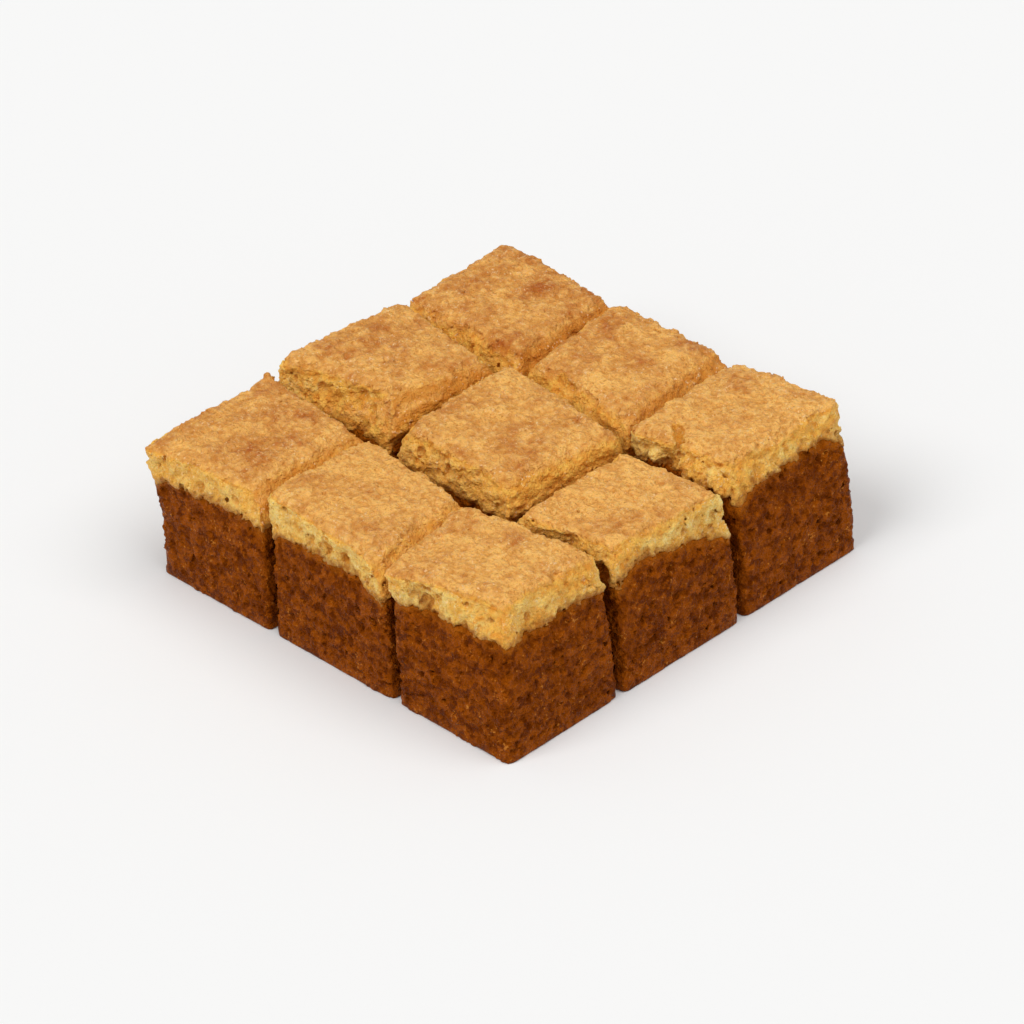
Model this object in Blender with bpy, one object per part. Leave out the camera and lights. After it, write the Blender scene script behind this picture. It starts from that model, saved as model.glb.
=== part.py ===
"""A block of semolina cake, cut three by three into nine squares that stand together.

Every square is two pieces: a golden sponge with its crust, and the dark syrup-soaked base under it.
Metres, +Z up. The origin is on the floor, under the middle of the block; +X is its right, +Y its back.
"""

import math

import bmesh
import bpy
from mathutils import Vector, noise

MM = 0.001

# The cuts, in millimetres from the middle of the foot, and the slit that the knife left there.
COLUMN_CUTS = (-68.5, -25.0, 22.0, 68.5)
ROW_CUTS = (-65.5, -22.5, 24.5, 68.5)
FOOT_SLIT = 0.7

# A side leans in from its foot to its top edge, most of it high up.
LEAN_POWER = 2.4
# How far a wall stands outside the top edge, just under the shoulder.
SHOULDER_OUT = 0.5
# How far the top edge stands outside the corners listed below.
TOP_OUT = 0.6
HALF_SIDE = 20.0
# The crust rolls down at its sides in a quarter round: its width, from how far it drops.
ROLL_WIDTH = 1.0
ROLL_WIDTH_PER_DROP = 1.2
CROWN = 0.5
# The higher this power, the sharper the upright edges.
CORNER_POWER = 20
TURN_POWER = 6

# The line between sponge and base: where it starts to fall towards the upright edges, and its waves.
LINE_CORNER_FROM = 0.68
LINE_FALL_POWER = 0.9
LINE_WAVE = 1.1
LINE_WAVE_LENGTH = 9.0
LAYER_GAP = 0.3

# How far in from a wall its relief and its dents still draw the layer line with them.
FOLLOW_REACH = 10.0

# Relief is carved inwards only, so that neighbours stay clear of each other.
SIDE_RELIEF = 1.5
SIDE_RELIEF_LENGTH = 6.5
BASE_RELIEF = 0.9
TOP_RELIEF = 0.45
TOP_RELIEF_LENGTH = 9.0
FINE_RELIEF = 0.3
FINE_RELIEF_LENGTH = 3.6

# Cells along each side of a square, and the side levels as shares of a layer's height.
CELLS = 11
EDGE_CROWDING = 0.75
SPONGE_LEVELS = (0.0, 0.34, 0.64, 0.86, 1.0)
BASE_LEVELS = (0.0, 0.4, 0.75, 1.0)

# Each square: column, row, its top corners as (x, y, height) in millimetres going round from the
# front left one, then the height of the layer line at its left and its right side, how far the line
# falls at the left and the right upright edges, and how far the crust rolls down at the front, the
# right, the back and the left side.
SQUARES = {
    "front_left": (
        (0, 0),
        ((-60.0, -56.5, 45.0), (-27.0, -58.0, 45.0), (-33.5, -16.5, 45.0), (-70.0, -20.0, 42.5)),
        (33.5, 34.0),
        (0.5, 1.5),
        (0.9, 1.4, 1.2, 1.0),
    ),
    "front_centre": (
        (1, 0),
        ((-20.5, -57.0, 42.5), (18.0, -61.0, 42.5), (14.5, -28.0, 42.5), (-26.0, -28.0, 42.5)),
        (36.5, 28.5),
        (8.0, 1.0),
        (0.9, 1.2, 1.2, 1.2),
    ),
    "front_right": (
        (2, 0),
        ((27.0, -55.5, 45.0), (69.0, -56.5, 45.0), (67.5, -20.0, 42.5), (22.0, -22.5, 44.0)),
        (36.0, 36.0),
        (4.5, 4.5),
        (0.9, 1.0, 1.2, 1.8),
    ),
    "mid_left": (
        (0, 1),
        ((-68.0, -16.0, 43.0), (-31.0, -13.0, 43.0), (-27.0, 26.5, 43.0), (-63.5, 29.0, 43.0)),
        (32.0, 33.0),
        (3.0, 3.0),
        (3.2, 1.4, 1.2, 1.0),
    ),
    "mid_centre": (
        (1, 1),
        ((-20.5, -19.5, 45.5), (16.5, -25.0, 45.5), (22.0, 22.5, 45.5), (-21.0, 19.5, 45.5)),
        (33.0, 33.0),
        (3.5, 3.0),
        (3.2, 1.4, 1.2, 1.6),
    ),
    "mid_right": (
        (2, 1),
        ((26.5, -18.5, 42.0), (68.5, -13.5, 42.0), (67.0, 24.5, 42.5), (29.5, 20.5, 42.0)),
        (32.0, 32.0),
        (3.5, 2.5),
        (3.2, 1.8, 1.2, 1.8),
    ),
    "back_left": (
        (0, 2),
        ((-64.0, 32.0, 42.0), (-26.0, 30.5, 42.0), (-23.0, 69.5, 42.5), (-70.0, 70.0, 42.0)),
        (32.0, 33.0),
        (3.0, 3.5),
        (3.4, 1.4, 0.8, 1.0),
    ),
    "back_centre": (
        (1, 2),
        ((-10.5, 33.0, 45.0), (18.5, 26.0, 45.0), (25.0, 65.5, 45.0), (-19.0, 69.0, 47.0)),
        (33.0, 34.0),
        (4.0, 3.0),
        (3.4, 1.4, 0.8, 1.8),
    ),
    "back_right": (
        (2, 2),
        ((30.0, 25.5, 42.0), (67.0, 27.5, 42.0), (69.5, 69.5, 42.0), (29.0, 68.5, 42.0)),
        (32.0, 32.0),
        (3.0, 3.5),
        (3.0, 1.0, 0.8, 1.8),
    ),
}

# Dents where crumb broke away: square, centre (x, y, z), radius and depth, in millimetres.
DENTS = (
    ("front_left", (-66.5, -33.5, 37.0), 6.5, 3.0),
    ("front_left", (-68.5, -21.0, 36.0), 5.5, 1.5),
    ("front_left", (-52.5, -59.0, 37.5), 5.0, 1.2),
    ("front_centre", (13.5, -61.5, 33.5), 5.5, 1.5),
    ("front_centre", (-23.0, -40.0, 37.0), 6.5, 2.0),
    ("front_right", (23.0, -38.5, 41.5), 6.0, 2.0),
    ("front_right", (25.5, -56.0, 38.0), 5.0, 1.5),
    ("mid_left", (-67.0, -5.0, 36.0), 7.0, 2.5),
    ("mid_centre", (-20.5, -6.0, 37.0), 6.5, 2.0),
    ("mid_right", (27.5, 5.0, 41.0), 6.5, 2.5),
    ("back_left", (-67.0, 48.5, 38.0), 6.0, 2.2),
    ("back_centre", (-14.0, 40.5, 41.5), 5.5, 2.0),
    ("back_centre", (-15.5, 52.0, 41.0), 7.0, 2.0),
)
# What share of a dent the crust above it sinks by.
DENT_SINK = 0.5

SPONGE_LOOK = ("golden_sponge", (0.66, 0.36, 0.10, 1.0), 0.62)
BASE_LOOK = ("soaked_base", (0.165, 0.042, 0.007, 1.0), 0.32)


def clear_scene():
    for obj in list(bpy.data.objects):
        bpy.data.objects.remove(obj, do_unlink=True)


def make_material(look):
    name, colour, roughness = look
    material = bpy.data.materials.new(name)
    material.use_nodes = True
    shader = material.node_tree.nodes["Principled BSDF"]
    shader.inputs["Base Color"].default_value = colour
    shader.inputs["Roughness"].default_value = roughness
    shader.inputs["Metallic"].default_value = 0.0
    material.diffuse_color = colour
    return material


def lattice_steps():
    """Places from -1 to 1 across a square, crowded towards its edges."""
    steps = []
    for k in range(CELLS + 1):
        even = 2.0 * k / CELLS - 1.0
        crowded = math.sin(0.5 * math.pi * even)
        steps.append(even + EDGE_CROWDING * (crowded - even))
    return steps


def perimeter():
    """Lattice indices round a square, anticlockwise from the front left corner."""
    n = CELLS
    ring = [(i, 0) for i in range(n)]
    ring += [(n, j) for j in range(n)]
    ring += [(n - i, n) for i in range(n)]
    ring += [(0, n - j) for j in range(n)]
    return ring


def round_corner(a, b):
    """Draws a place in the square in, so that the upright edges come out rounded."""
    reach = max(abs(a), abs(b))
    if reach == 0.0:
        return a, b
    power = CORNER_POWER
    pull = reach / (abs(a) ** power + abs(b) ** power) ** (1.0 / power)
    return a * pull, b * pull


def blend(corners, a, b):
    """The point at (a, b), each -1 to 1, between four corners that go round from the front left."""
    front = corners[0].lerp(corners[1], 0.5 + 0.5 * a)
    back = corners[3].lerp(corners[2], 0.5 + 0.5 * a)
    return front.lerp(back, 0.5 + 0.5 * b)


def wave(point, length, seed):
    """Smooth noise of about -1 to 1 that changes over the given length in millimetres."""
    return noise.noise((point + Vector((seed * 31.7, seed * 17.3, seed * 7.9))) / length)


def outward(a, b):
    """The way a wall faces at a place on the rim of the lattice; it turns smoothly at the upright edges."""
    x = math.copysign(abs(a) ** TURN_POWER, a)
    y = math.copysign(abs(b) ** TURN_POWER, b)
    return Vector((x, y, 0.0)).normalized()


class Square:
    """The form of one square of cake, as functions of a place (a, b) in its plan."""

    def __init__(self, name, seed):
        (column, row), corners, line, fall, rolls = SQUARES[name]
        half_slit = 0.5 * FOOT_SLIT
        left = COLUMN_CUTS[column] + half_slit
        right = COLUMN_CUTS[column + 1] - half_slit
        front = ROW_CUTS[row] + half_slit
        back = ROW_CUTS[row + 1] - half_slit
        self.seed = seed
        foot = ((left, front), (right, front), (right, back), (left, back))
        self.foot = [Vector((x, y, 0.0)) for x, y in foot]
        self.top = self.spread([Vector(corner) for corner in corners], TOP_OUT)
        self.brow = self.spread(self.top, SHOULDER_OUT)
        self.line_left, self.line_right = line
        self.fall_left, self.fall_right = fall
        self.rolls = rolls
        self.dents = [dent[1:] for dent in DENTS if dent[0] == name]

    @staticmethod
    def spread(corners, reach):
        """The corners moved outwards in plan, by about the given reach for each wall."""
        middle = sum(corners, Vector((0.0, 0.0, 0.0))) / len(corners)
        moved = []
        for corner in corners:
            away = Vector((corner.x - middle.x, corner.y - middle.y, 0.0))
            moved.append(corner + away * (reach / HALF_SIDE))
        return moved

    def top_point(self, a, b):
        """The crust: the plane through the top corners, crowned and rolled down at the shoulder."""
        reach = max(abs(a), abs(b))
        point = blend(self.top, *round_corner(a, b))
        inner = 1.0 - reach
        point.z += CROWN * min(1.0, 3.0 * inner) - self.rolled(a, b)
        point.z += TOP_RELIEF * wave(point, TOP_RELIEF_LENGTH, self.seed)
        point.z += FINE_RELIEF * wave(point, FINE_RELIEF_LENGTH, self.seed + 3)
        if reach > 0.999:
            carve = 0.4 * SIDE_RELIEF * (1.0 + wave(point, SIDE_RELIEF_LENGTH, self.seed + 5))
            point -= outward(a, b) * 0.5 * carve
            point.z -= 0.4 * carve
        return self.dented(point, Vector((0.0, 0.0, DENT_SINK)))

    def rolled(self, a, b):
        """How far the crust has come down at a place, by the side that it rolls down to the most."""
        fall = 0.0
        for share, drop in zip((-b, a, b, -a), self.rolls):
            width = ROLL_WIDTH + ROLL_WIDTH_PER_DROP * drop
            near = max(0.0, 1.0 - HALF_SIDE * (1.0 - share) / width)
            fall = max(fall, drop * (1.0 - math.sqrt(1.0 - near * near)))
        return fall

    def line_point(self, a, b):
        """The layer line inside the cake and at its sides."""
        spread = 0.5 + 0.5 * a
        height = self.line_left + (self.line_right - self.line_left) * spread
        corner = max(0.0, (min(abs(a), abs(b)) - LINE_CORNER_FROM) / (1.0 - LINE_CORNER_FROM))
        fall = self.fall_left if a < 0.0 else self.fall_right
        height -= fall * corner ** LINE_FALL_POWER
        point = self.wall_point(a, b, height)
        point.z += LINE_WAVE * wave(Vector((point.x, point.y, 0.0)), LINE_WAVE_LENGTH, self.seed + 7)
        return point

    def wall_point(self, a, b, height):
        """A place on the wall at this height, or in the same plan inside it."""
        flat_a, flat_b = round_corner(a, b)
        foot = blend(self.foot, flat_a, flat_b)
        brow = blend(self.brow, flat_a, flat_b)
        share = min(1.0, height / brow.z)
        point = foot.lerp(brow, share ** LEAN_POWER)
        point.z = height
        return point

    def side_point(self, a, b, height, relief):
        """A wall point with its torn relief and dents."""
        point = self.wall_point(a, b, height)
        facing = outward(a, b)
        carve = 0.5 * relief * (1.0 + wave(point, SIDE_RELIEF_LENGTH, self.seed + 11))
        carve += 0.25 * relief * (1.0 + wave(point, FINE_RELIEF_LENGTH, self.seed + 13))
        point -= facing * carve
        return self.dented(point, facing)

    def dented(self, point, facing):
        for centre, radius, depth in self.dents:
            distance = (point - Vector(centre)).length
            if distance < radius:
                near = 1.0 - (distance / radius) ** 2
                point = point - facing * (depth * near)
        return point


def follow(moved, steps, i, j):
    """How far a place inside is drawn along by the walls beside it, less and less away from them."""
    shift = Vector((0.0, 0.0, 0.0))
    total = 0.0
    beside = (((i, 0), -steps[j]), ((CELLS, j), steps[i]), ((i, CELLS), steps[j]), ((0, j), -steps[i]))
    for key, share in beside:
        near = max(0.0, 1.0 - HALF_SIDE * (1.0 - share) / FOLLOW_REACH)
        shift += moved[key] * near * near
        total += near * near
    return shift / max(1.0, total)


def shell(name, floor, lid, walls):
    """A closed mesh from a floor grid, a lid grid and wall rings; a None floor is one flat face."""
    mesh = bpy.data.meshes.new(name)
    bm = bmesh.new()
    ring = perimeter()
    rings = []
    for level in walls[:-1]:
        rings.append([bm.verts.new(point * MM) for point in level])
    lid_verts = {}
    for key, point in lid.items():
        lid_verts[key] = bm.verts.new(point * MM)
    rings.append([lid_verts[key] for key in ring])
    count = len(ring)
    for low, high in zip(rings[:-1], rings[1:]):
        for k in range(count):
            after = (k + 1) % count
            bm.faces.new((low[k], low[after], high[after]))
            bm.faces.new((low[k], high[after], high[k]))
    add_grid(bm, lid_verts, upwards=True)
    if floor is None:
        bm.faces.new(list(reversed(rings[0])))
    else:
        floor_verts = dict(zip(ring, rings[0]))
        for key, point in floor.items():
            if key not in floor_verts:
                floor_verts[key] = bm.verts.new(point * MM)
        add_grid(bm, floor_verts, upwards=False)
    bm.to_mesh(mesh)
    bm.free()
    return mesh


def add_grid(bm, verts, upwards):
    """Two triangles a cell, with the same diagonal whichever way the grid faces."""
    for i in range(CELLS):
        for j in range(CELLS):
            near = verts[i, j]
            far = verts[i + 1, j + 1]
            right = verts[i + 1, j]
            back = verts[i, j + 1]
            if upwards:
                bm.faces.new((near, right, far))
                bm.faces.new((near, far, back))
            else:
                bm.faces.new((near, far, right))
                bm.faces.new((near, back, far))


def build_square(name, seed, sponge_material, base_material):
    square = Square(name, seed)
    steps = lattice_steps()
    ring = perimeter()
    keys = [(i, j) for i in range(CELLS + 1) for j in range(CELLS + 1)]
    on_rim = [(steps[i], steps[j]) for i, j in ring]

    line = {(i, j): square.line_point(steps[i], steps[j]) for i, j in keys}
    moved = {}
    for key, (a, b) in zip(ring, on_rim):
        moved[key] = square.side_point(a, b, line[key].z, SIDE_RELIEF) - line[key]
    for i, j in keys:
        line[i, j] += moved[i, j] if (i, j) in moved else follow(moved, steps, i, j)
    crust = {(i, j): square.top_point(steps[i], steps[j]) for i, j in keys}

    sponge_rings = []
    for share in SPONGE_LEVELS:
        level = []
        for key, (a, b) in zip(ring, on_rim):
            if share == 0.0:
                level.append(line[key].copy())
            else:
                low, high = line[key].z, crust[key].z
                level.append(square.side_point(a, b, low + share * (high - low), SIDE_RELIEF))
        sponge_rings.append(level)

    lowered = {key: point - Vector((0.0, 0.0, LAYER_GAP)) for key, point in line.items()}
    base_rings = []
    for share in BASE_LEVELS:
        level = []
        for key, (a, b) in zip(ring, on_rim):
            height = share * lowered[key].z
            relief = BASE_RELIEF if share > 0.0 else 0.5 * BASE_RELIEF
            level.append(square.side_point(a, b, height, relief))
        base_rings.append(level)

    meshes = (
        (shell("sponge_" + name, line, crust, sponge_rings), sponge_material),
        (shell("base_" + name, None, lowered, base_rings), base_material),
    )
    objects = []
    for mesh, material in meshes:
        mesh.materials.append(material)
        mesh.shade_smooth()
        mesh.set_sharp_from_angle(angle=math.radians(50.0))
        obj = bpy.data.objects.new(mesh.name, mesh)
        bpy.context.scene.collection.objects.link(obj)
        objects.append(obj)
    return objects


def centre_on_origin(objects):
    """Moves the meshes so that the block's box is centred over the origin."""
    points = [vertex.co for obj in objects for vertex in obj.data.vertices]
    middle_x = 0.5 * (min(p.x for p in points) + max(p.x for p in points))
    middle_y = 0.5 * (min(p.y for p in points) + max(p.y for p in points))
    for obj in objects:
        for vertex in obj.data.vertices:
            vertex.co.x -= middle_x
            vertex.co.y -= middle_y


def main():
    clear_scene()
    sponge_material = make_material(SPONGE_LOOK)
    base_material = make_material(BASE_LOOK)
    objects = []
    for seed, name in enumerate(SQUARES, start=1):
        objects += build_square(name, seed, sponge_material, base_material)
    centre_on_origin(objects)


main()
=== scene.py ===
"""The block of semolina cake, dressed: torn crumb, baked crust, soaked base, loose crumbs."""
import math
from types import SimpleNamespace

import bmesh
import bpy
from mathutils import Matrix, Vector, kdtree


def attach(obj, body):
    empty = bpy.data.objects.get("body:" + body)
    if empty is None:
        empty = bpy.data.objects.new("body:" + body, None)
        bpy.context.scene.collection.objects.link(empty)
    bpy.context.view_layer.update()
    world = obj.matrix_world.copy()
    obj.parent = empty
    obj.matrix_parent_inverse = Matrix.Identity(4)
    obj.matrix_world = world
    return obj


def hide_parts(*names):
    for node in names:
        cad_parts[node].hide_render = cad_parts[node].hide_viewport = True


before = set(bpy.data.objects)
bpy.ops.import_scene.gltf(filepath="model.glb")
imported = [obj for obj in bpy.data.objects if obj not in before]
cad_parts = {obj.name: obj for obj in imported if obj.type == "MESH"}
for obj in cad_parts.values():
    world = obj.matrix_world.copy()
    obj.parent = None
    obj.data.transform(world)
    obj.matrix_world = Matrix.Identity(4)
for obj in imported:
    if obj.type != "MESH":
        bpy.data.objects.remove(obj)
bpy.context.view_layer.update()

MM = 0.001

# ---------------------------------------------------------------- the cake, place by place

# The squares: how toasted each crust is (above 0 is browner), and how golden with syrup its front
# and its left walls are, where they stood against a neighbour.
SQUARES = {
    "front_left": (-0.08, 0.2, 0.1),
    "front_centre": (-0.1, 0.0, 0.6),
    "front_right": (-0.1, 0.0, 0.25),
    "mid_left": (-0.05, 0.9, 0.1),
    "mid_centre": (0.12, 0.85, 0.6),
    "mid_right": (0.22, 1.0, 0.8),
    "back_left": (0.2, 0.95, 0.35),
    "back_centre": (0.22, 1.0, 0.2),
    "back_right": (0.36, 1.0, 0.8),
}

# Patches of crust, in millimetres: square, (x, y, z), reach, and how much browner (above 0) or
# paler (below 0) it is than the rest.
PATCHES = (
    ("back_left", (-48.0, 40.0, 43.0), 10.0, 0.45),
    ("back_left", (-31.0, 43.0, 42.5), 5.0, 0.4),
    ("back_centre", (6.5, 53.0, 44.0), 9.0, 0.4),
    ("back_centre", (-5.5, 29.5, 43.0), 8.0, -0.35),
    ("back_right", (30.5, 31.5, 44.0), 6.5, 0.9),
    ("back_right", (57.0, 40.5, 44.0), 4.5, 0.6),
    ("back_right", (55.5, 21.5, 44.0), 5.0, 0.5),
    ("back_right", (31.0, 24.0, 43.5), 4.5, 0.7),
    ("back_right", (44.5, 39.0, 44.0), 4.5, -0.35),
    ("mid_right", (54.0, 14.0, 44.0), 6.0, 0.45),
    ("mid_right", (65.0, -8.5, 43.5), 5.0, 0.6),
    ("mid_right", (35.5, -2.0, 43.5), 7.0, -0.5),
    ("mid_centre", (12.7, -14.8, 43.5), 2.6, 1.5),
    ("mid_centre", (-8.0, -13.0, 44.0), 8.0, 0.4),
    ("mid_centre", (15.5, 10.5, 44.5), 7.0, -0.4),
    ("front_right", (55.0, -34.0, 44.0), 9.0, 0.4),
    ("front_right", (24.5, -44.5, 43.0), 7.0, -0.6),
    ("front_centre", (11.5, -52.5, 42.5), 5.0, 0.5),
    ("front_centre", (-13.0, -53.5, 42.5), 6.0, 0.5),
    ("front_centre", (9.0, -41.5, 43.5), 6.5, -0.6),
    ("mid_left", (-55.5, -13.0, 42.0), 7.0, 0.55),
    ("mid_left", (-56.5, 15.5, 42.5), 7.0, 0.3),
    ("mid_left", (-37.0, 11.5, 42.5), 8.0, -0.3),
    ("front_left", (-40.0, -27.0, 43.0), 6.0, 0.45),
    ("front_left", (-37.0, -40.0, 43.0), 5.0, 0.4),
    ("front_left", (-59.5, -32.0, 42.0), 6.0, 0.5),
    ("front_left", (-38.5, -51.5, 42.0), 6.0, -0.6),
    ("front_left", (-52.5, -46.5, 42.0), 5.0, -0.35),
)

# Places where crumb was bitten out, in millimetres: square, (x, y, z), radius.
BITES = (
    ("front_left", (-65.9, -35.3, 37.0), 3.2),
    ("front_left", (-65.9, -35.6, 40.0), 2.2),
    ("front_left", (-66.4, -33.0, 37.9), 2.2),
    ("front_left", (-65.4, -49.0, 34.9), 1.9),
    ("front_left", (-64.4, -59.5, 33.4), 1.6),
    ("front_left", (-55.3, -62.5, 35.1), 1.5),
    ("front_left", (-52.8, -61.0, 37.5), 1.5),
    ("front_left", (-42.6, -63.3, 34.4), 1.6),
    ("mid_left", (-65.4, 17.0, 36.4), 1.8),
    ("mid_left", (-65.5, 11.8, 37.4), 1.5),
    ("mid_left", (-66.1, 7.3, 36.0), 2.3),
    ("mid_left", (-66.3, 0.9, 36.4), 2.3),
    ("mid_left", (-65.2, -5.1, 35.1), 2.1),
    ("back_left", (-66.2, 35.8, 36.0), 1.6),
    ("back_left", (-67.1, 48.5, 35.2), 1.8),
    ("front_centre", (-22.4, -58.0, 34.6), 2.6),
    ("front_centre", (-5.6, -63.7, 34.6), 1.6),
    ("front_centre", (4.4, -63.7, 36.4), 1.7),
    ("front_centre", (9.1, -63.9, 36.8), 2.0),
    ("front_centre", (15.0, -63.3, 36.2), 1.4),
    ("front_right", (23.8, -38.3, 37.1), 1.8),
    ("front_right", (29.0, -61.8, 36.4), 1.7),
    ("front_right", (41.7, -61.2, 39.1), 1.6),
    ("front_right", (53.6, -61.2, 38.9), 1.5),
    ("mid_centre", (-20.9, 7.3, 44.0), 1.4),
    ("mid_centre", (-21.6, 9.4, 41.2), 1.6),
    ("mid_centre", (-21.5, -1.0, 40.1), 1.8),
    ("mid_right", (29.0, 7.1, 41.0), 2.4),
    ("mid_right", (28.5, 3.6, 40.2), 2.1),
    ("mid_right", (27.9, -1.7, 39.9), 1.7),
    ("back_centre", (-13.6, 39.8, 42.4), 2.0),
    ("back_centre", (-15.3, 40.6, 40.3), 1.8),
    ("back_centre", (-13.9, 35.9, 39.7), 1.4),
    ("back_centre", (-16.6, 46.7, 39.9), 1.8),
    ("back_centre", (-17.8, 36.3, 35.9), 2.2),
    ("back_centre", (-17.4, 52.2, 40.8), 1.8),
)

# Knobs of crumb that stand out, in millimetres: square, (x, y, z), radius.
KNOBS = (
    ("back_left", (-24.8, 65.2, 41.4), 1.9),
    ("back_left", (-24.5, 66.0, 42.4), 1.0),
    ("front_right", (23.8, -34.5, 38.2), 2.4),
    ("front_right", (24.7, -44.2, 38.8), 2.5),
    ("front_right", (24.3, -46.6, 36.8), 2.8),
    ("front_right", (24.5, -49.0, 38.8), 2.6),
    ("front_right", (24.2, -51.6, 36.8), 2.8),
    ("front_right", (25.2, -54.2, 38.4), 2.6),
    ("front_right", (25.5, -57.0, 36.6), 2.7),
)

# The crack across a corner of the front right crust, in millimetres: its points, and the radius and
# the distance of the bites that it is made of.
CRACK_SQUARE = "front_right"
CRACK_PATH = ((30.6, -35.4, 43.9), (29.6, -37.4, 43.6), (27.6, -38.6, 43.4), (26.4, -40.9, 42.9),
              (25.0, -41.3, 41.6), (24.6, -41.9, 39.5), (24.4, -42.9, 36.4))
CRACK_RADIUS = 1.3
CRACK_STEP = 0.6

# A square without bites has this one, too far off and too small to show.
NO_BITE = ((0.0, 0.0, -1000.0), 0.001)

# What the crumb tree is told of each layer: the grid's step in millimetres, whether it is the upper
# layer, how bold its lumps and clods are, how large a clod is, how many pores are open, how far its
# walls are sunk into the form, how soaked and toasted it is (the sponges' values are in SQUARES), how
# many loose crumbs it has, and its place in the noise.
CRUMB_SETTINGS = ("Grain", "Upper", "Lump Relief", "Clod Relief", "Clod Size", "Pore Share", "Sunk",
                  "Soaked Front", "Soaked Left", "Toast", "Crumb Share", "Seed")
SPONGE = {"Grain": 0.42, "Upper": 1.0, "Lump Relief": 0.8, "Clod Relief": 0.35,
          "Clod Size": 1.9, "Pore Share": 0.34, "Sunk": 0.0, "Crumb Share": 1.0}
BASE = {"Grain": 0.55, "Upper": 0.0, "Lump Relief": 0.65, "Clod Relief": 0.6,
        "Clod Size": 1.5, "Pore Share": 0.12, "Sunk": 0.1, "Soaked Front": 0.0, "Soaked Left": 0.0,
        "Toast": 0.0, "Crumb Share": 0.0}


# ---------------------------------------------------------------- node helpers

class Wiring:
    """Adds nodes to a tree so that a field reads like a formula."""

    def __init__(self, tree):
        self.tree = tree

    def add(self, kind, inputs=None, **settings):
        node = self.tree.nodes.new(kind)
        for name, value in settings.items():
            setattr(node, name, value)
        for key, value in (inputs or {}).items():
            self.feed(node.inputs[key], value)
        return node

    def feed(self, socket, value):
        if isinstance(value, bpy.types.NodeSocket):
            self.tree.links.new(value, socket)
        else:
            socket.default_value = value

    def math(self, operation, a, b=0.0, c=0.0, clamp=False):
        node = self.add("ShaderNodeMath", {0: a, 1: b, 2: c}, operation=operation)
        node.use_clamp = clamp
        return node.outputs[0]

    def plus(self, a, b):
        return self.math("ADD", a, b)

    def minus(self, a, b):
        return self.math("SUBTRACT", a, b)

    def times(self, a, b):
        return self.math("MULTIPLY", a, b)

    def rest(self, a):
        """One less the value."""
        return self.math("SUBTRACT", 1.0, a)

    def choose(self, share, a, b):
        """The first value where the share is 1, and the second where it is 0."""
        return self.plus(self.times(share, a), self.times(self.rest(share), b))

    def vector(self, operation, a, b=(0.0, 0.0, 0.0), out=0):
        return self.add("ShaderNodeVectorMath", {0: a, 1: b}, operation=operation).outputs[out]

    def scaled(self, a, factor):
        return self.add("ShaderNodeVectorMath", {0: a, "Scale": factor}, operation="SCALE").outputs[0]

    def joined(self, x, y, z):
        return self.add("ShaderNodeCombineXYZ", {0: x, 1: y, 2: z}).outputs[0]

    def parts(self, value):
        return self.add("ShaderNodeSeparateXYZ", {0: value}).outputs

    def fade(self, value, low, high, to_low=0.0, to_high=1.0):
        """A smooth step from to_low at low to to_high at high."""
        node = self.add("ShaderNodeMapRange", interpolation_type="SMOOTHSTEP")
        given = (value, low, high, to_low, to_high)
        for key, part in zip(("Value", "From Min", "From Max", "To Min", "To Max"), given):
            self.feed(node.inputs[key], part)
        return node.outputs[0]

    def noise(self, at, size, detail=2.0, roughness=0.5):
        """Noise from -1 to 1 whose waves are about size long."""
        node = self.add("ShaderNodeTexNoise", {"Vector": at, "Detail": detail, "Roughness": roughness,
                                               "Scale": 1.0 / size})
        return self.math("MULTIPLY_ADD", node.outputs[0], 2.0, -1.0)

    def waves(self, at, size, height, detail=2.0, roughness=0.5):
        """Noise from -height to height whose waves are about size long."""
        return self.times(self.noise(at, size, detail, roughness), height)

    def cells(self, at, scale):
        """Cells round scattered middles, so many to a millimetre: the distance to the middle, and a tone."""
        node = self.add("ShaderNodeTexVoronoi", {"Vector": at, "Scale": scale}, feature="F1")
        return node.outputs["Distance"], self.parts(node.outputs["Color"])[0]

    def named(self, name, kind="FLOAT"):
        """A stored attribute of a mesh, read in a geometry tree."""
        node = self.add("GeometryNodeInputNamedAttribute", {"Name": name}, data_type=kind)
        return node.outputs["Attribute"]


# ---------------------------------------------------------------- the form of a square

# How near two points are to be one, and to lie on either side of the gap between the layers.
LAYER_GAP = 0.3 * MM
WELD = 0.01 * MM
MATCH = 0.02 * MM

# Two triangles become one face when they bend, and when the face's corners are off, by less than this.
JOIN_BEND = math.radians(60.0)
JOIN_SKEW = math.radians(80.0)

# Points below this height belong to the foot, and go down so far, so that the foot is cut flat.
FOOT_DEPTH = 0.1 * MM
FOOT_DROP = 4.0 * MM


def bites_of(square):
    """A square's bites, knobs and crack, as places and radii. The radius of a knob is below 0."""
    bites = [(place, radius) for owner, place, radius in BITES if owner == square]
    bites += [(place, -radius) for owner, place, radius in KNOBS if owner == square]
    if square == CRACK_SQUARE:
        for start, end in zip(CRACK_PATH[:-1], CRACK_PATH[1:]):
            way = Vector(end) - Vector(start)
            steps = max(1, round(way.length / CRACK_STEP))
            bites += [(Vector(start).lerp(Vector(end), k / steps), CRACK_RADIUS) for k in range(steps)]
    return bites or [NO_BITE]


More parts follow.
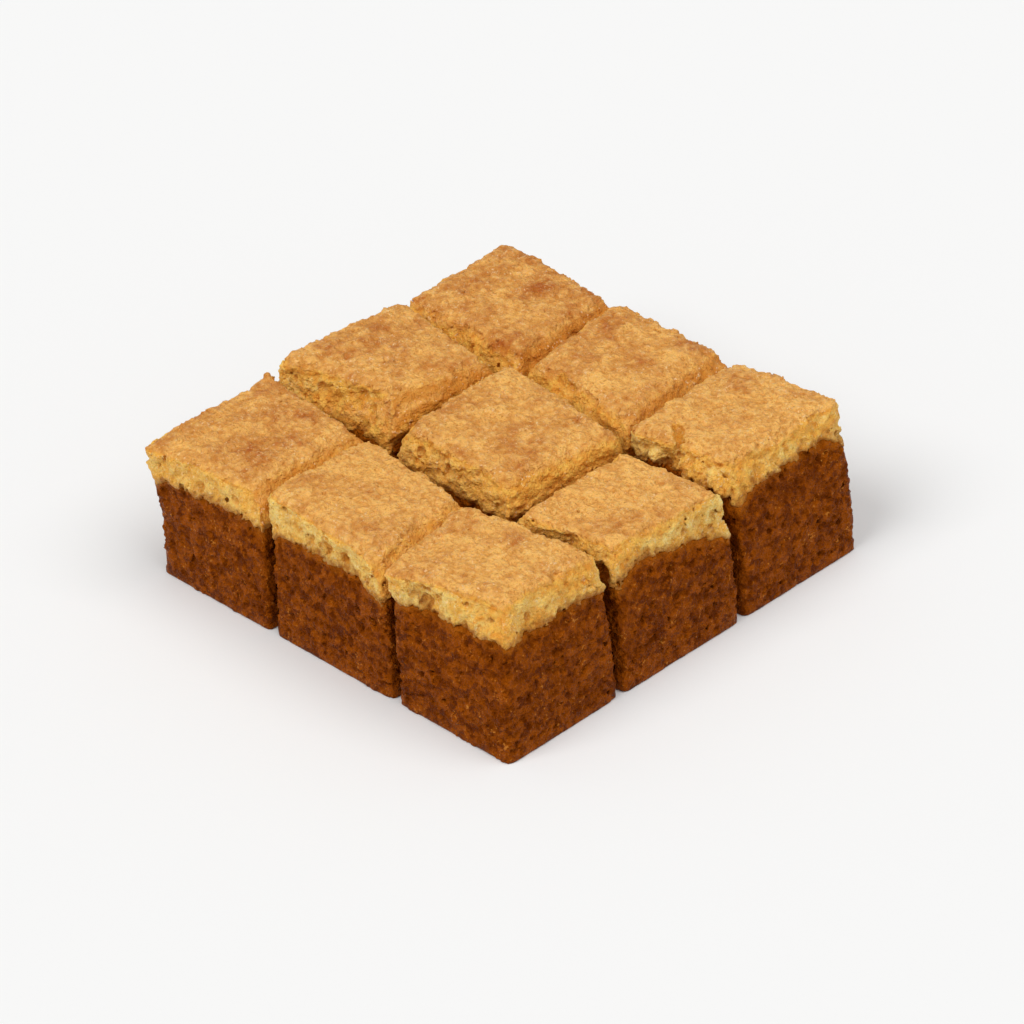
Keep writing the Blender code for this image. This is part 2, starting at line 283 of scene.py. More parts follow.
def load_layers(bm, square):
    """Loads both layers of a square, and pairs the points that face each other across the gap."""
    shells = {}
    for layer in ("sponge", "base"):
        before = set(bm.verts)
        bm.from_mesh(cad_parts[layer + "_" + square].data)
        added = [vert for vert in bm.verts if vert not in before]
        bmesh.ops.remove_doubles(bm, verts=added, dist=WELD)
        shells[layer] = [vert for vert in bm.verts if vert not in before]
    tree = kdtree.KDTree(len(shells["base"]))
    for number, vert in enumerate(shells["base"]):
        tree.insert(vert.co, number)
    tree.balance()
    pairs = {}
    for vert in shells["sponge"]:
        _, number, distance = tree.find(vert.co - Vector((0.0, 0.0, LAYER_GAP)))
        if distance < MATCH:
            pairs[vert] = shells["base"][number]
    return pairs


def close_gap(bm, pairs):
    """Makes one closed block of both layers. Returns the line that was between them, face by face."""
    upper = set(pairs)
    lower = set(pairs.values())
    upper_faces = [face for face in bm.faces if all(vert in upper for vert in face.verts)]
    lower_faces = [face for face in bm.faces if all(vert in lower for vert in face.verts)]
    line = [[vert.co.copy() for vert in reversed(face.verts)] for face in upper_faces]
    bmesh.ops.delete(bm, geom=upper_faces + lower_faces, context="FACES")
    for above, below in pairs.items():
        if above.is_valid and below.is_valid:
            below.co = above.co
    bmesh.ops.remove_doubles(bm, verts=bm.verts, dist=MATCH)
    bmesh.ops.join_triangles(bm, faces=bm.faces, angle_face_threshold=JOIN_BEND,
                             angle_shape_threshold=JOIN_SKEW)
    for vert in bm.verts:
        if vert.co.z < FOOT_DEPTH:
            vert.co.z -= FOOT_DROP
    return line


def add_line(bm, line, is_line):
    """Puts the line between the layers back as faces of its own."""
    corners = {}
    for points in line:
        verts = []
        for point in points:
            key = tuple(round(part, 7) for part in point)
            if key not in corners:
                corners[key] = bm.verts.new(point)
            verts.append(corners[key])
        bm.faces.new(verts)[is_line] = True


def square_form(square):
    """The closed form of a square, with loose faces for the layer line, and loose points for its marks."""
    bm = bmesh.new()
    is_line = bm.faces.layers.bool.new("layer")
    bite_size = bm.verts.layers.float.new("bite")
    patch_reach = bm.verts.layers.float.new("reach")
    patch_brown = bm.verts.layers.float.new("browner")
    line = close_gap(bm, load_layers(bm, square))
    add_line(bm, line, is_line)
    for place, radius in bites_of(square):
        bm.verts.new(Vector(place) * MM)[bite_size] = radius
    for owner, place, reach, browner in PATCHES:
        if owner == square:
            vert = bm.verts.new(Vector(place) * MM)
            vert[patch_reach] = reach
            vert[patch_brown] = browner
    mesh = bpy.data.meshes.new("form_of_" + square)
    bm.to_mesh(mesh)
    bm.free()
    return mesh


# ---------------------------------------------------------------- the crumb tree

# Lengths inside the tree are in millimetres. How far the grid goes past the form's sides, past its
# crust, past the layer line and below the floor, and the height at which the foot is cut.
SIDE_MARGIN = 1.5
CRUST_MARGIN = 2.0
LINE_MARGIN = 3.5
FLOOR_MARGIN = 0.8
FOOT_CUT = 0.05

# The surface is blurred over so many steps of the grid, and bits with fewer points than this fall away.
EDGE_STEPS = 3.0
SMALLEST_BIT = 60.0

# How far apart two squares are in the noise, and the noise that bends the cells of crumb.
SEED_STEPS = (37.3, -23.9, 11.1)
BEND_SCALE = 0.6
BEND_REACH = 1.4

# Facings at which one thing fades into another: 1 faces straight up, to the front or to the left, and 0
# stands across that way.
ROUND_CORNER = (0.4, 0.75)
LEFT_IS_BOLD = (0.3, 0.8)
CRUST_BEGINS = (0.22, 0.58)
CRUST_IS_BAKED = (0.0, 0.85)
WALL_ENDS = (0.5, 0.95)
WAVER_ENDS = (0.7, 0.95)
BROW_BEGINS = (0.05, 0.45)
BROW_ENDS = (0.75, 0.97)
RIM_ENDS = (0.75, 0.98)
CRUMBS_LIE = (0.2, 0.5)

# Heights above the floor, and depths below the crust, at which one thing fades into another.
FOOT_EDGE = (0.1, 0.3)
ROUGH_ABOVE_FLOOR = (0.5, 5.0)
SQUARES_PART = (24.0, 38.0)
CRUST_RUNS_DOWN = (5.0, 8.5)
LEAN_BEGINS = (1.0, 8.0)
LEAN_ENDS = (10.0, 14.0)

# Depths in the form, and the last of them in a bite, at which one thing fades into another.
PORES_END = (0.6, 2.4)
BAKING_ENDS = (0.8, 2.0)
# painted shade: the depths over which a pit darkens
PITS_ARE_SHADED = (0.0, 2.5)
BITE_OPENS = (-0.4, 0.3)

# How far noise shifts the edge of the crust: as a facing, and where it runs down a front.
CRUST_RAGGED = 0.3
RUN_DOWN_RAGGED = 3.0

# The crust: which way its wrinkles and creases run, how wide and deep a crease is, and how far the
# crust is sunk beside it.
ALONG_WRINKLES = (0.75, 1.3, 1.0)
ALONG_CREASES = (1.2, 0.8, 1.0)
CREASE_WIDTH = 0.13
CREASE_DEPTH = 0.3
CRUST_SUNK = 0.05

# The nibbles of the brow: the noise that bites, and how deep it goes.
NIBBLE_RANGE = (-0.1, 0.45)
NIBBLE_DEPTH = 1.25

# The torn walls: how much bolder the left ones are, how rough they are at the floor, how high a clod
# stands at its middle and how steeply it falls, the noise that makes pits and their depth, and how far
# the walls are sunk for all that.
LEFT_BOLDNESS = 1.5
FLOOR_ROUGHNESS = 0.25
CLOD_HEIGHT = 0.65
CLOD_FALL = -1.5
PIT_RANGE = (-0.08, -0.5)
PIT_DEPTH = 1.5
WALL_SUNK = 0.1

# The waver of the outline where the squares touch and where they stand apart, then how far a front
# and a left wall lean towards the neighbour that they were pressed against.
WAVER_TOUCHING = 0.35
WAVER_APART = 1.9
FRONT_LEAN = 2.2
LEFT_LEAN = 1.5

# The pores: the distance between their middles, and the largest radius.
PORE_SPACING = 2.9
PORE_RADIUS = 1.3

# How far each layer goes past the frayed line between the two.
SPONGE_PAST_LINE = 0.2
BASE_PAST_LINE = 0.1

# How softly a hole's edge and a knob's foot run into the surface, and a distance with no effect on it.
HOLE_BLEND = 0.3
KNOB_BLEND = 1.0
FAR = 1000.0

# Shares of a patch's reach: how ragged its edge is, where it starts to fade, and where it ends.
PATCH_RAGGED = 0.5
PATCH_FADES = 0.1
PATCH_ENDS = 1.35

# How baked the crust is that runs down a front, how much of the baking a bite takes away, how much
# painted shade of a deep pit it then gets, and how large the clods are that differ in tone.
RUN_DOWN_BAKED = 0.62
BITE_UNBAKED = 0.85
BITE_SHADED = 0.9
CLOD_TONE_SIZE = 1.7

# The loose crumbs: how many lie on a square millimetre of the rim and of the crust, the seed of their
# places, how dented they are, how far they are turned, and the smallest and the largest.
CRUMBS_ON_RIM = 0.03
CRUMBS_ON_CRUST = 0.0015
CRUMB_SEED = 5
CRUMB_DENTS = 0.5
CRUMB_TURN = 6.0
CRUMB_SMALLEST = (0.25, 0.25, 0.2)
CRUMB_LARGEST = (0.75, 0.6, 0.5)


def open_crumb_tree():
    """An empty node tree with an input for everything that a layer is told."""
    tree = bpy.data.node_groups.new("torn_crumb", "GeometryNodeTree")
    face = tree.interface
    face.new_socket("Geometry", in_out="OUTPUT", socket_type="NodeSocketGeometry")
    face.new_socket("Geometry", in_out="INPUT", socket_type="NodeSocketGeometry")
    for name in CRUMB_SETTINGS:
        face.new_socket(name, in_out="INPUT", socket_type="NodeSocketFloat")
    face.new_socket("Material", in_out="INPUT", socket_type="NodeSocketMaterial")
    return tree


def marked_points(w, geometry, mark):
    """The points whose mark isn't 0."""
    is_marked = w.math("GREATER_THAN", w.math("ABSOLUTE", w.named(mark)), 0.0)
    split = w.add("GeometryNodeSeparateGeometry", {"Geometry": geometry, "Selection": is_marked},
                  domain="POINT")
    return split.outputs["Selection"]


def nearest_marks(w, points, *names):
    """How far the nearest of some points is, and the marks that it carries."""
    near = w.add("GeometryNodeProximity", {"Geometry": points}, target_element="POINTS")
    index = w.add("GeometryNodeSampleNearest", {"Geometry": points}, domain="POINT").outputs["Index"]
    marks = []
    for name in names:
        sample = w.add("GeometryNodeSampleIndex",
                       {"Geometry": points, "Value": w.named(name), "Index": index},
                       data_type="FLOAT", domain="POINT")
        marks.append(sample.outputs[0])
    return near.outputs["Distance"], *marks


def take_apart(w, geometry):
    """The form and the layer line, both rounded, then the bites and the patches."""
    big = w.add("GeometryNodeTransform", {"Geometry": geometry, "Scale": (1.0 / MM,) * 3}).outputs[0]
    split = w.add("GeometryNodeSeparateGeometry",
                  {"Geometry": big, "Selection": w.named("layer", "BOOLEAN")}, domain="FACE")
    height = w.parts(w.add("GeometryNodeInputPosition").outputs[0])[2]
    form = w.add("GeometryNodeSubdivisionSurface",
                 {"Mesh": split.outputs["Inverted"], "Level": 2,
                  "Edge Crease": w.rest(w.fade(height, *FOOT_EDGE))}).outputs[0]
    line = w.add("GeometryNodeSubdivisionSurface",
                 {"Mesh": split.outputs["Selection"], "Level": 1}).outputs[0]
    return form, line, marked_points(w, big, "bite"), marked_points(w, big, "reach")


def layer_box(w, form, line, upper):
    """The low and the high corner of the box that a layer fills, and the height of the crust."""
    form_box = w.add("GeometryNodeBoundBox", {"Geometry": form}).outputs
    line_box = w.add("GeometryNodeBoundBox", {"Geometry": line}).outputs
    low_x, low_y, _ = w.parts(form_box["Min"])
    high_x, high_y, crust_z = w.parts(form_box["Max"])
    line_low = w.minus(w.parts(line_box["Min"])[2], LINE_MARGIN)
    line_high = w.plus(w.parts(line_box["Max"])[2], LINE_MARGIN)
    from_z = w.choose(upper, line_low, -FLOOR_MARGIN)
    to_z = w.choose(upper, w.plus(crust_z, CRUST_MARGIN), line_high)
    low = w.joined(w.minus(low_x, SIDE_MARGIN), w.minus(low_y, SIDE_MARGIN), from_z)
    high = w.joined(w.plus(high_x, SIDE_MARGIN), w.plus(high_y, SIDE_MARGIN), to_z)
    return low, high, crust_z


def look_round(w, form, crust_z, seed):
    """What the formulas know of a place: its height, its depth in the form, and how the form faces there."""
    here = SimpleNamespace()
    here.place = w.add("GeometryNodeInputPosition").outputs[0]
    here.z = w.parts(here.place)[2]
    here.below_crust = w.minus(crust_z, here.z)
    here.at = w.vector("ADD", here.place, w.joined(*(w.times(seed, step) for step in SEED_STEPS)))
    bend = w.add("ShaderNodeTexNoise", {"Vector": here.at, "Scale": BEND_SCALE, "Detail": 1.0})
    here.bent = w.vector("ADD", here.at, w.scaled(bend.outputs["Color"], BEND_REACH))

    nearest = w.add("GeometryNodeProximity", {"Geometry": form}, target_element="FACES").outputs
    normal = w.add("GeometryNodeSampleNearestSurface", {"Mesh": form}, data_type="FLOAT_VECTOR")
    w.feed(normal.inputs["Value"], w.add("GeometryNodeInputNormal").outputs[0])
    facing = w.vector("NORMALIZE", normal.outputs["Value"])
    away = w.vector("SUBTRACT", here.place, nearest["Position"])
    side = w.math("SIGN", w.vector("DOT_PRODUCT", away, facing, out="Value"))
    here.outside = w.times(nearest["Distance"], side)
    here.inside = w.times(here.outside, -1.0)
    facing_x, facing_y, here.up = w.parts(facing)
    here.leftward = w.times(facing_x, -1.0)
    here.frontward = w.times(facing_y, -1.0)
    return here


def find_crust(w, here, soaked_front, soaked_left):
    """Where the crust lies, which turns down over the brow and runs on down a front that was pressed
    against a neighbour, and where the walls are torn."""
    here.front = w.times(w.fade(here.frontward, *ROUND_CORNER), soaked_front)
    here.left = w.times(w.fade(here.leftward, *ROUND_CORNER), soaked_left)
    reach_down = w.math("MULTIPLY_ADD", w.noise(here.at, size=3.0), RUN_DOWN_RAGGED, here.below_crust)
    here.rolled = w.times(here.front, w.rest(w.fade(reach_down, *CRUST_RUNS_DOWN)))
    here.ragged_up = w.math("MULTIPLY_ADD", w.noise(here.at, size=2.4), CRUST_RAGGED, here.up)
    here.on_crust = w.math("MAXIMUM", w.fade(here.ragged_up, *CRUST_BEGINS), here.rolled)
    wall = w.rest(w.fade(w.math("ABSOLUTE", here.up), *WALL_ENDS))
    off_floor = w.fade(here.z, *ROUGH_ABOVE_FLOOR, FLOOR_ROUGHNESS, 1.0)
    here.torn = w.times(w.times(wall, w.rest(here.on_crust)), off_floor)
    fold = w.noise(w.vector("MULTIPLY", here.at, ALONG_CREASES), size=4.6, detail=3.0, roughness=0.6)
    here.crease = w.rest(w.fade(w.math("ABSOLUTE", fold), 0.0, CREASE_WIDTH))


def crust_relief(w, here):
    """Soft swellings, wrinkles with creases between them, and a grain of semolina."""
    swell = w.waves(here.at, size=7.0, height=0.9)
    wrinkle = w.waves(w.vector("MULTIPLY", here.at, ALONG_WRINKLES), size=2.6, height=0.75, detail=3.0)
    grains = w.waves(here.at, size=1.0, height=0.5, detail=1.0)
    sunk = w.math("MULTIPLY_ADD", here.crease, CREASE_DEPTH, CRUST_SUNK)
    return w.minus(w.plus(w.plus(swell, wrinkle), grains), sunk)


def brow_relief(w, here):
    """Small nibbles out of the brow, shallower where it was pressed against a neighbour."""
    brow = w.times(w.fade(here.up, *BROW_BEGINS), w.rest(w.fade(here.up, *BROW_ENDS)))
    nibbled = w.fade(w.noise(here.at, size=2.8, detail=3.0, roughness=0.6), *NIBBLE_RANGE)
    return w.times(w.times(nibbled, w.math("MULTIPLY_ADD", here.front, 1.0, -NIBBLE_DEPTH)), brow)


def wall_relief(w, here, given):
    """Lumps, bolder on the left walls, then clods of crumb with cracks between them, and pits."""
    bold = w.fade(here.leftward, *LEFT_IS_BOLD, 1.0, LEFT_BOLDNESS)
    large = w.times(w.waves(here.at, size=3.6, height=1.1), bold)
    lumps = w.plus(large, w.waves(here.at, size=1.4, height=0.95, detail=3.0, roughness=0.65))
    to_middle, _ = w.cells(here.bent, w.math("DIVIDE", 1.0, given["Clod Size"]))
    clods = w.math("MULTIPLY_ADD", to_middle, CLOD_FALL, CLOD_HEIGHT)
    side = w.plus(w.times(lumps, given["Lump Relief"]), w.times(clods, given["Clod Relief"]))
    pitted = w.noise(here.at, size=1.9, detail=3.0, roughness=0.65)
    return w.minus(w.minus(side, WALL_SUNK), w.fade(pitted, *PIT_RANGE, 0.0, PIT_DEPTH))


def sway(w, here):
    """The waver of the whole outline, most of it high up where the squares stand apart, and the lean."""
    free = w.fade(here.z, *SQUARES_PART, WAVER_TOUCHING, WAVER_APART)
    waver = w.times(w.noise(here.at, size=7.5, detail=3.0, roughness=0.55), free)
    waver = w.times(waver, w.rest(w.fade(here.up, *WAVER_ENDS)))
    lean = w.times(w.fade(here.below_crust, *LEAN_BEGINS), w.rest(w.fade(here.below_crust, *LEAN_ENDS)))
    pressed = w.times(w.plus(w.times(here.front, FRONT_LEAN), w.times(here.left, LEFT_LEAN)), lean)
    return w.plus(waver, pressed)


def rough_surface(w, here, given):
    """How far a place is outside the crumb, before pores and bites."""
    crust = w.times(crust_relief(w, here), here.on_crust)
    walls = w.times(wall_relief(w, here, given), here.torn)
    relief = w.plus(w.plus(crust, walls), w.plus(brow_relief(w, here), sway(w, here)))
    return w.minus(w.plus(here.outside, given["Sunk"]), relief)


def open_pores(w, here, surface, share):
    """Open pores near the torn walls."""
    near_wall = w.times(here.torn, w.rest(w.fade(here.inside, *PORES_END)))
    to_middle, tone = w.cells(here.bent, 1.0 / PORE_SPACING)
    ragged = w.waves(here.at, size=1.2, height=0.5)
    to_middle = w.math("MULTIPLY_ADD", to_middle, PORE_SPACING, ragged)
    radius = w.times(w.times(w.fade(tone, w.rest(share), 1.0), PORE_RADIUS), near_wall)
    return w.math("SMOOTH_MAX", surface, w.minus(radius, to_middle), HOLE_BLEND)


def bite_out(w, here, surface, bites):
    """The bites taken out and the knobs put on. The crust is marked as opened where a bite is."""
    to_bite, size = nearest_marks(w, bites, "bite")
    rough = w.plus(w.waves(here.at, size=2.4, height=0.75, detail=3.0, roughness=0.6),
                   w.waves(here.at, size=1.0, height=0.3, detail=1.0))
    rough = w.times(rough, w.math("ABSOLUTE", size))
    hole = w.minus(w.plus(w.math("MAXIMUM", size, 0.0), rough), to_bite)
    here.opened = w.times(w.fade(hole, *BITE_OPENS), here.on_crust)
    surface = w.math("SMOOTH_MAX", surface, hole, HOLE_BLEND)
    is_hole = w.math("GREATER_THAN", size, 0.0)
    knob = w.plus(w.plus(to_bite, size), w.times(is_hole, FAR))
    return w.math("SMOOTH_MIN", surface, w.plus(knob, rough), KNOB_BLEND)


def cut_layer(w, here, surface, line, upper):
    """Only one layer: cut off at the frayed line between the two, and flat at the foot."""
    nearest = w.add("GeometryNodeProximity", {"Geometry": line}, target_element="FACES").outputs
    above = w.minus(here.z, w.parts(nearest["Position"])[2])
    frays = w.plus(w.waves(here.at, size=3.2, height=2.2, detail=3.0, roughness=0.6),
                   w.waves(here.at, size=1.2, height=0.6, roughness=0.6))
    here.above_line = w.plus(above, frays)
    cut = w.choose(upper, w.minus(-SPONGE_PAST_LINE, here.above_line),
                   w.minus(here.above_line, BASE_PAST_LINE))
    return w.math("MAXIMUM", w.math("MAXIMUM", surface, cut), w.minus(FOOT_CUT, here.z))


def make_skin(w, surface, low, high, grain):
    """The mesh of the surface inside the box, without bits too small to hold on."""
    sides = w.parts(w.vector("SUBTRACT", high, low))
    counts = [w.plus(w.math("CEIL", w.math("DIVIDE", side, grain)), 1.0) for side in sides]
    density = w.math("SUBTRACT", 0.5, w.math("DIVIDE", surface, w.times(grain, EDGE_STEPS)), clamp=True)
    cloud = w.add("GeometryNodeVolumeCube",
                  {"Density": density, "Background": 0.0, "Min": low, "Max": high,
                   "Resolution X": counts[0], "Resolution Y": counts[1], "Resolution Z": counts[2]})
    skin = w.add("GeometryNodeVolumeToMesh",
                 {"Volume": cloud.outputs[0], "Threshold": 0.5, "Adaptivity": 0.0}).outputs[0]
    island = w.add("GeometryNodeInputMeshIsland").outputs["Island Index"]
    size = w.add("GeometryNodeAccumulateField", {"Value": 1.0, "Group ID": island},
                 data_type="FLOAT", domain="POINT").outputs["Total"]
    too_small = w.math("LESS_THAN", size, SMALLEST_BIT)
    return w.add("GeometryNodeDeleteGeometry", {"Geometry": skin, "Selection": too_small},
                 domain="POINT").outputs[0]


def patch_of(w, here, patches):
    """How much browner the nearest patch makes a place."""
    to_patch, reach, browner = nearest_marks(w, patches, "reach", "browner")
    ragged = w.noise(here.at, size=4.0, detail=3.0, roughness=0.6)
    to_patch = w.math("MULTIPLY_ADD", ragged, w.times(reach, PATCH_RAGGED), to_patch)
    off_patch = w.fade(to_patch, w.times(reach, PATCH_FADES), w.times(reach, PATCH_ENDS))
    return w.times(browner, w.rest(off_patch))


def store_looks(w, here, skin, given, patches):
    """Keeps on the skin what the materials read.

    The baking is (baked, painted shade of a pit or a bite, soaked), the layering is (height above the line,
    rim, painted shade of the crust's creases or tone of the clod), and the toast is how much browner the
    crust is than most.
    """
    run_down = w.times(here.rolled, RUN_DOWN_BAKED)
    baked = w.math("MAXIMUM", w.fade(here.ragged_up, *CRUST_IS_BAKED), run_down)
    baked = w.times(baked, w.rest(w.fade(here.inside, *BAKING_ENDS)))
    baked = w.times(baked, w.rest(w.times(here.opened, BITE_UNBAKED)))
    # painted shade: darker the deeper a place lies in a pit or a bite
    pit_shade = w.fade(w.minus(here.inside, given["Sunk"]), *PITS_ARE_SHADED)
    pit_shade = w.math("MAXIMUM", pit_shade, w.times(here.opened, BITE_SHADED))
    soaked = w.math("MAXIMUM", here.front, here.left)
    rim = w.rest(w.fade(here.up, *RIM_ENDS))
    _, clod_tone = w.cells(here.bent, 1.0 / CLOD_TONE_SIZE)
    # painted shade of the creases where the crust is, a random tone of the clods elsewhere
    mark = w.choose(here.on_crust, here.crease, clod_tone)
    toast = w.plus(given["Toast"], patch_of(w, here, patches))
    looks = (
        ("baking", w.joined(baked, pit_shade, soaked), "FLOAT_VECTOR"),
        ("layering", w.joined(here.above_line, rim, mark), "FLOAT_VECTOR"),
        ("toast", toast, "FLOAT"),
    )
    for name, value, kind in looks:
        skin = w.add("GeometryNodeStoreNamedAttribute", {"Geometry": skin, "Name": name, "Value": value},
                     data_type=kind, domain="POINT").outputs[0]
    return skin


def loose_crumbs(w, here, skin, share):
    """Loose crumbs that lie on the crust, most of them along its rim."""
    rim = w.parts(w.named("layering", "FLOAT_VECTOR"))[1]
    share = w.times(w.math("MULTIPLY_ADD", rim, CRUMBS_ON_RIM, CRUMBS_ON_CRUST), share)
    level = w.parts(w.add("GeometryNodeInputNormal").outputs[0])[2]
    share = w.times(share, w.fade(level, *CRUMBS_LIE))
    spots = w.add("GeometryNodeDistributePointsOnFaces",
                  {"Mesh": skin, "Density": share, "Seed": CRUMB_SEED})
    ball = w.add("GeometryNodeMeshIcoSphere", {"Radius": 1.0, "Subdivisions": 2}).outputs[0]
    dents = w.scaled(here.place, w.waves(here.place, size=0.8, height=CRUMB_DENTS, detail=1.0))
    ball = w.add("GeometryNodeSetPosition", {"Geometry": ball, "Offset": dents}).outputs[0]
    turn = w.add("FunctionNodeRandomValue", {0: (0.0,) * 3, 1: (CRUMB_TURN,) * 3},
                 data_type="FLOAT_VECTOR").outputs[0]
    across = w.add("FunctionNodeRandomValue", {0: CRUMB_SMALLEST, 1: CRUMB_LARGEST},
                   data_type="FLOAT_VECTOR").outputs[0]
    loose = w.add("GeometryNodeInstanceOnPoints",
                  {"Points": spots.outputs["Points"], "Instance": ball, "Rotation": turn, "Scale": across})
    return w.add("GeometryNodeRealizeInstances", {"Geometry": loose.outputs[0]}).outputs[0]


def crumb_tree():
    """Cuts one layer of a square out of the whole square's form, with torn crumb at its walls."""
    tree = open_crumb_tree()
    w = Wiring(tree)
    given = w.add("NodeGroupInput").outputs
    form, line, bites, patches = take_apart(w, given["Geometry"])
    low, high, crust_z = layer_box(w, form, line, given["Upper"])
    here = look_round(w, form, crust_z, given["Seed"])
    find_crust(w, here, given["Soaked Front"], given["Soaked Left"])

    surface = rough_surface(w, here, given)
    surface = open_pores(w, here, surface, given["Pore Share"])
    surface = bite_out(w, here, surface, bites)
    surface = cut_layer(w, here, surface, line, given["Upper"])
    skin = make_skin(w, surface, low, high, given["Grain"])
    skin = store_looks(w, here, skin, given, patches)

    together = w.add("GeometryNodeJoinGeometry")
    w.feed(together.inputs[0], loose_crumbs(w, here, skin, given["Crumb Share"]))
    w.feed(together.inputs[0], skin)
    small = w.add("GeometryNodeTransform", {"Geometry": together.outputs[0], "Scale": (MM,) * 3}).outputs[0]
    smooth = w.add("GeometryNodeSetShadeSmooth", {"Geometry": small, "Shade Smooth": True}).outputs[0]
    real = w.add("GeometryNodeRealizeInstances", {"Geometry": smooth}).outputs[0]
    coated = w.add("GeometryNodeSetMaterial", {"Geometry": real, "Material": given["Material"]}).outputs[0]
    w.add("NodeGroupOutput", {"Geometry": coated})
    return tree


def grow(name, form, tree, settings, material):
    """Runs the crumb tree on a square's form, and keeps its plain mesh."""
    maker = bpy.data.objects.new("maker_of_" + name, form)
    bpy.context.scene.collection.objects.link(maker)
    modifier = maker.modifiers.new("crumb", "NODES")
    modifier.node_group = tree
    ids = {item.name: item.identifier for item in tree.interface.items_tree
           if item.item_type == "SOCKET" and item.in_out == "INPUT"}
    for key, value in settings.items():
        modifier[ids[key]] = value
    modifier[ids["Material"]] = material
    graph = bpy.context.evaluated_depsgraph_get()
    mesh = bpy.data.meshes.new_from_object(maker.evaluated_get(graph), depsgraph=graph)
    bpy.data.objects.remove(maker)
    mesh.name = name
    piece = bpy.data.objects.new(name, mesh)
    bpy.context.scene.collection.objects.link(piece)
    return piece


# ---------------------------------------------------------------- materials

def new_material(name):
    material = bpy.data.materials.new(name)
    material.use_nodes = True
    tree = material.node_tree
    shader = tree.nodes["Principled BSDF"]
    return material, Wiring(tree), shader


def read(w, name, out="Fac"):
    """What the crumb tree stored on the skin."""
    return w.add("ShaderNodeAttribute", attribute_name=name, attribute_type="GEOMETRY").outputs[out]


def place_in_mm(w):
    return w.scaled(w.add("ShaderNodeTexCoord").outputs["Object"], 1.0 / MM)


# The sockets of a mix node that take and give colours.
MIX_FACTOR = 0
MIX_FIRST = 6
MIX_SECOND = 7
MIX_RESULT = 2


def mixed(w, factor, first, second):
    """The first colour where the factor is 0, and the second where it is 1."""
    node = w.add("ShaderNodeMix", {MIX_FACTOR: factor}, data_type="RGBA")
    w.feed(node.inputs[MIX_FIRST], first)
    w.feed(node.inputs[MIX_SECOND], second)
    return node.outputs[MIX_RESULT]


def rgb(red, green, blue):
    """A colour as the eye names it, 0 to 255, made linear."""
    linear = []
    for part in (red, green, blue):
        share = part / 255.0
        linear.append(share / 12.92 if share <= 0.04045 else ((share + 0.055) / 1.055) ** 2.4)
    return (*linear, 1.0)


CRUST_LIGHT = rgb(252, 190, 101)
CRUST_TOASTED = rgb(182, 94, 30)
# painted highlight: the tops of the crust's grain
CRUST_GRAIN_HIGHLIGHT = rgb(255, 208, 142)
# painted shade: the pits of the crust's grain
CRUST_PIT_SHADE = rgb(186, 110, 28)
# painted shade: the creases of the crust
CRUST_CREASE_SHADE = rgb(202, 124, 42)
BROW_LIGHT = rgb(250, 192, 86)
BROW_GOLD = rgb(232, 154, 54)
# painted shade: the pits of the brow
BROW_PIT_SHADE = rgb(204, 126, 40)
BROW_SOAKED = rgb(208, 124, 34)
BROW_TOASTED = rgb(190, 104, 34)
CRUMB_GOLD = rgb(246, 184, 76)
CRUMB_LIGHT = rgb(255, 218, 124)
# painted highlight: the tops of the crumb's fluff
CRUMB_FLUFF_HIGHLIGHT = rgb(255, 238, 184)
# painted shade: the crumb's pits
CRUMB_PIT_SHADE = rgb(206, 132, 26)
# painted shade: the crumb's deep hollows
CRUMB_DEEP_SHADE = rgb(204, 122, 22)
WET_LIGHT = rgb(254, 188, 84)
WET_GOLD = rgb(238, 158, 58)
# painted shade: the pits of the soaked crumb
WET_PIT_SHADE = rgb(206, 128, 40)
# painted shade: the soaked crumb's deep hollows
WET_DEEP_SHADE = rgb(200, 118, 32)
# painted highlight: glints of syrup on the sponge
SPONGE_GLINT = rgb(255, 216, 164)
SPONGE_SOAK = rgb(156, 84, 16)

BASE_DARK = rgb(96, 38, 1)
BASE_BROWN = rgb(162, 80, 8)
# painted shade: the base's deep hollows
BASE_DEEP_SHADE = rgb(86, 33, 1)
# painted highlight: wet glints on the base
BASE_GLINT = rgb(212, 136, 56)
BASE_AMBER = rgb(180, 98, 18)

# How much of a colour shows where it shows most.
CREASE_SHADE_SHOWS = 0.5
DRY_DEEP_SHADE_SHOWS = 0.9
WET_DEEP_SHADE_SHOWS = 0.6
SPONGE_GLINT_SHOWS = 0.65
SPONGE_SOAK_SHOWS = 0.9
BASE_DEEP_SHADE_SHOWS = 0.85
BASE_GLINT_SHOWS = 0.7
BASE_AMBER_SHOWS = 0.8

# How much less of the dry crust shows where it is soaked, and how high the two grains stand.
SOAKED_LESS_DRY = 0.4
SPONGE_GRAIN_HEIGHT = 0.7 * MM
BASE_GRAIN_HEIGHT = 0.6 * MM


def crust_colour(w, at, fine, toast, mark):
    """Toasted in patches, with a painted highlight on the grain's tops, and painted shade in its pits and in
    the creases.
    """
    patches = w.plus(w.waves(at, size=9.0, height=1.2, detail=4.0, roughness=0.6), toast)
    mottle = w.noise(at, size=2.6, detail=3.0, roughness=0.6)
    crust = mixed(w, w.fade(w.plus(mottle, patches), low=-0.4, high=1.3), CRUST_LIGHT, CRUST_TOASTED)
    # a painted highlight on the grain's tops, then painted shade in its pits, from the noise of the bump
    crust = mixed(w, w.fade(fine, low=0.04, high=0.4, to_high=0.65), crust, CRUST_GRAIN_HIGHLIGHT)
    crust = mixed(w, w.fade(fine, low=-0.04, high=-0.4, to_high=0.65), crust, CRUST_PIT_SHADE)
    # painted shade in the creases of the crust
    return mixed(w, w.times(mark, CREASE_SHADE_SHOWS), crust, CRUST_CREASE_SHADE)


